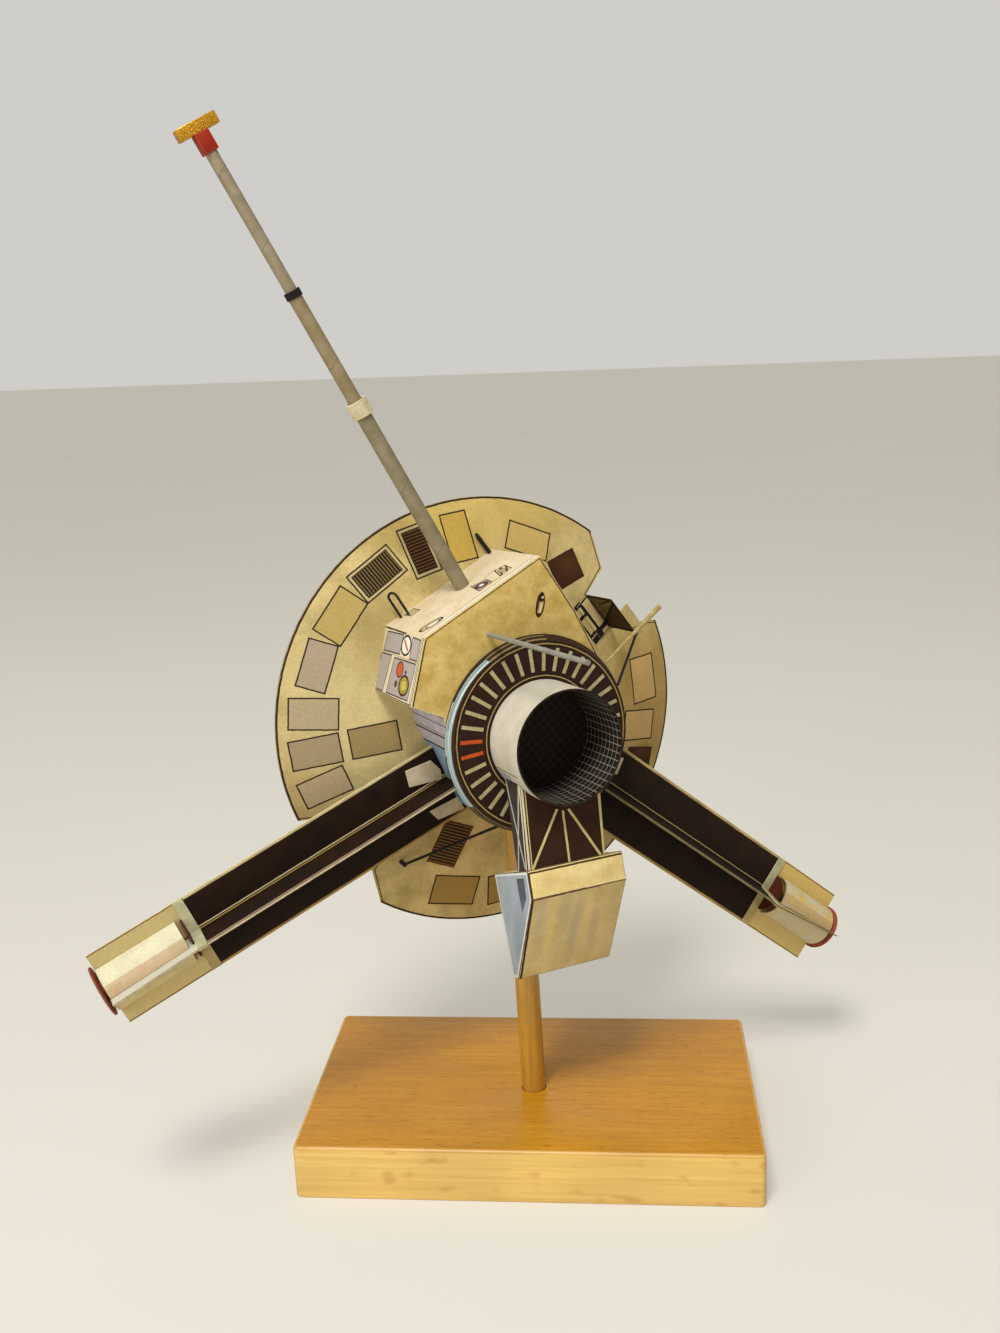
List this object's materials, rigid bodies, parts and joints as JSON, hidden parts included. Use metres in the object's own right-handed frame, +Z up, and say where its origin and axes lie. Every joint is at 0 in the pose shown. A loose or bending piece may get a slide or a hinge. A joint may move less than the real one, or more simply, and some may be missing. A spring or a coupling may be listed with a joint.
{
  "type": "display model of a space probe on a wooden stand",
  "caption": "Glued card model of a deep-space probe with a notched dish, an open tube, two finned arms and a long boom, held tilted on a dowel in a wooden block.",
  "frame": {"origin": "centre of the wooden block's underside, on the surface it stands on", "axes": "+Z up, +X along the block's long side to the right as pictured, +Y to the back"},
  "size_m": [0.2354, 0.1302, 0.326],
  "materials": {
    "varnished_beech_block": "varnished, satin",
    "beech_dowel": "bare, sanded",
    "dish_card": "printed card, matt",
    "bus_card": "printed card, matt",
    "bay_card": "printed card, matt",
    "ring_card": "printed card, matt",
    "louvre_card": "printed card, matt",
    "white_card": "card, matt",
    "dark_grid_card": "printed card, matt",
    "hood_card": "printed card, matt",
    "truss_card": "printed card, matt",
    "arm_card": "printed card, matt",
    "cream_card": "printed card, matt",
    "red_brown_card": "printed card, matt",
    "orange_card": "printed card, matt",
    "pale_card": "card, matt",
    "grey_paper_tube": "rolled paper, matt",
    "black_paper": "matt",
    "red_card": "card, matt",
    "gold_card": "gold glitter card",
    "white_stick": "painted, matt",
    "support_card": "printed card, matt"
  },
  "bodies": {
    "root": {"base_block": "varnished_beech_block", "boom_collar": "white_card", "boom_mid_tube": "grey_paper_tube", "boom_ring": "black_paper", "boom_root_tube": "grey_paper_tube", "boom_tip_tube": "grey_paper_tube", "bus_body": "bus_card", "dish": "dish_card", "dowel": "beech_dowel", "edge_wire": "black_paper", "feed_head": "pale_card", "feed_struts": "pale_card", "hood_box": "hood_card", "instrument_bay": "bay_card", "left_arm_bands": "cream_card", "left_arm_can": "cream_card", "left_arm_end_disc": "orange_card", "left_arm_inner_disc": "red_brown_card", "left_arm_plate_1": "arm_card", "left_arm_plate_2": "arm_card", "left_arm_plate_3": "arm_card", "left_arm_root_tabs": "pale_card", "left_wire_loop": "black_paper", "louvre_plate": "louvre_card", "open_tube": "white_card", "pod_rod": "white_stick", "probe_rod": "grey_paper_tube", "right_arm_bands": "cream_card", "right_arm_can": "cream_card", "right_arm_end_disc": "orange_card", "right_arm_inner_disc": "red_brown_card", "right_arm_plate_1": "arm_card", "right_arm_plate_2": "arm_card", "right_arm_plate_3": "arm_card", "right_arm_root_tabs": "pale_card", "right_wire_loop": "black_paper", "rim_strut": "black_paper", "rim_tab": "cream_card", "ring_band": "ring_card", "sensor_bar": "gold_card", "sensor_block": "red_card", "thruster_foot": "support_card", "thruster_wall": "support_card", "truss": "truss_card", "tube_floor": "dark_grid_card"}
  },
  "joints": []
}
